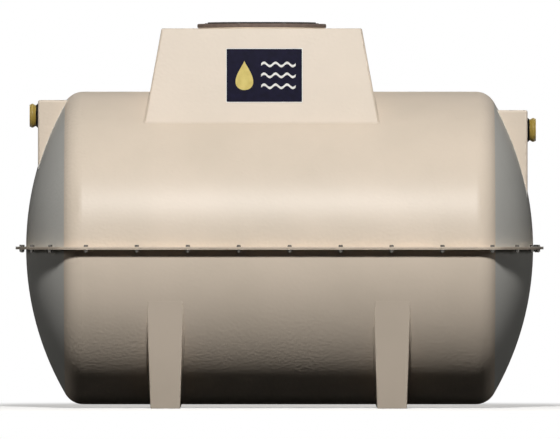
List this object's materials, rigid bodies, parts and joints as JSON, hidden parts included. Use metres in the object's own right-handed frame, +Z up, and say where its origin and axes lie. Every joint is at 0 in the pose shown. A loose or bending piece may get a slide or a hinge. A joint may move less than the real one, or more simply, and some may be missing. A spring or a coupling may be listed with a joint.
{
  "type": "packaged sewage treatment plant",
  "caption": "Horizontal glass-fibre sewage treatment tank in two bolted halves, with an access turret and round lid on top, drain boxes with pipe sockets at the ends, and saddle feet.",
  "frame": {"origin": "on the ground, under the middle of the tank", "axes": "+X along the tank from the inlet end to the outlet end, the front faces -Y, +Z up"},
  "size_m": [2.77, 1.75, 2.02],
  "materials": {
    "gelcoat": "beige gelcoat on glass-fibre laminate",
    "end_gelcoat": "grey gelcoat on glass-fibre laminate",
    "gasket_rubber": "matt black",
    "frame_plastic": "grey-brown moulded",
    "lid_plastic": "dark moulded, anti-slip lugs",
    "drain_plastic": "ochre drain pipe",
    "seal_rubber": "matt black"
  },
  "bodies": {
    "root": {"upper_barrel": "gelcoat", "lower_barrel": "gelcoat", "upper_inlet_knuckle": "gelcoat", "upper_outlet_knuckle": "gelcoat", "lower_inlet_knuckle": "gelcoat", "lower_outlet_knuckle": "gelcoat", "upper_flange_front": "gelcoat", "upper_flange_back": "gelcoat", "upper_flange_inlet": "gelcoat", "upper_flange_outlet": "gelcoat", "lower_flange_front": "gelcoat", "lower_flange_back": "gelcoat", "lower_flange_inlet": "gelcoat", "lower_flange_outlet": "gelcoat", "turret_walls": "gelcoat", "turret_top": "gelcoat", "manway_upstand": "gelcoat", "inlet_box": "gelcoat", "outlet_box": "gelcoat", "inlet_saddle": "gelcoat", "outlet_saddle": "gelcoat", "upper_inlet_dish": "end_gelcoat", "upper_outlet_dish": "end_gelcoat", "lower_inlet_dish": "end_gelcoat", "lower_outlet_dish": "end_gelcoat", "flange_gasket": "gasket_rubber", "cover_frame": "frame_plastic", "cover_lid": "lid_plastic", "inlet_socket": "drain_plastic", "outlet_socket": "drain_plastic", "inlet_seal": "seal_rubber", "outlet_seal": "seal_rubber"}
  },
  "joints": []
}
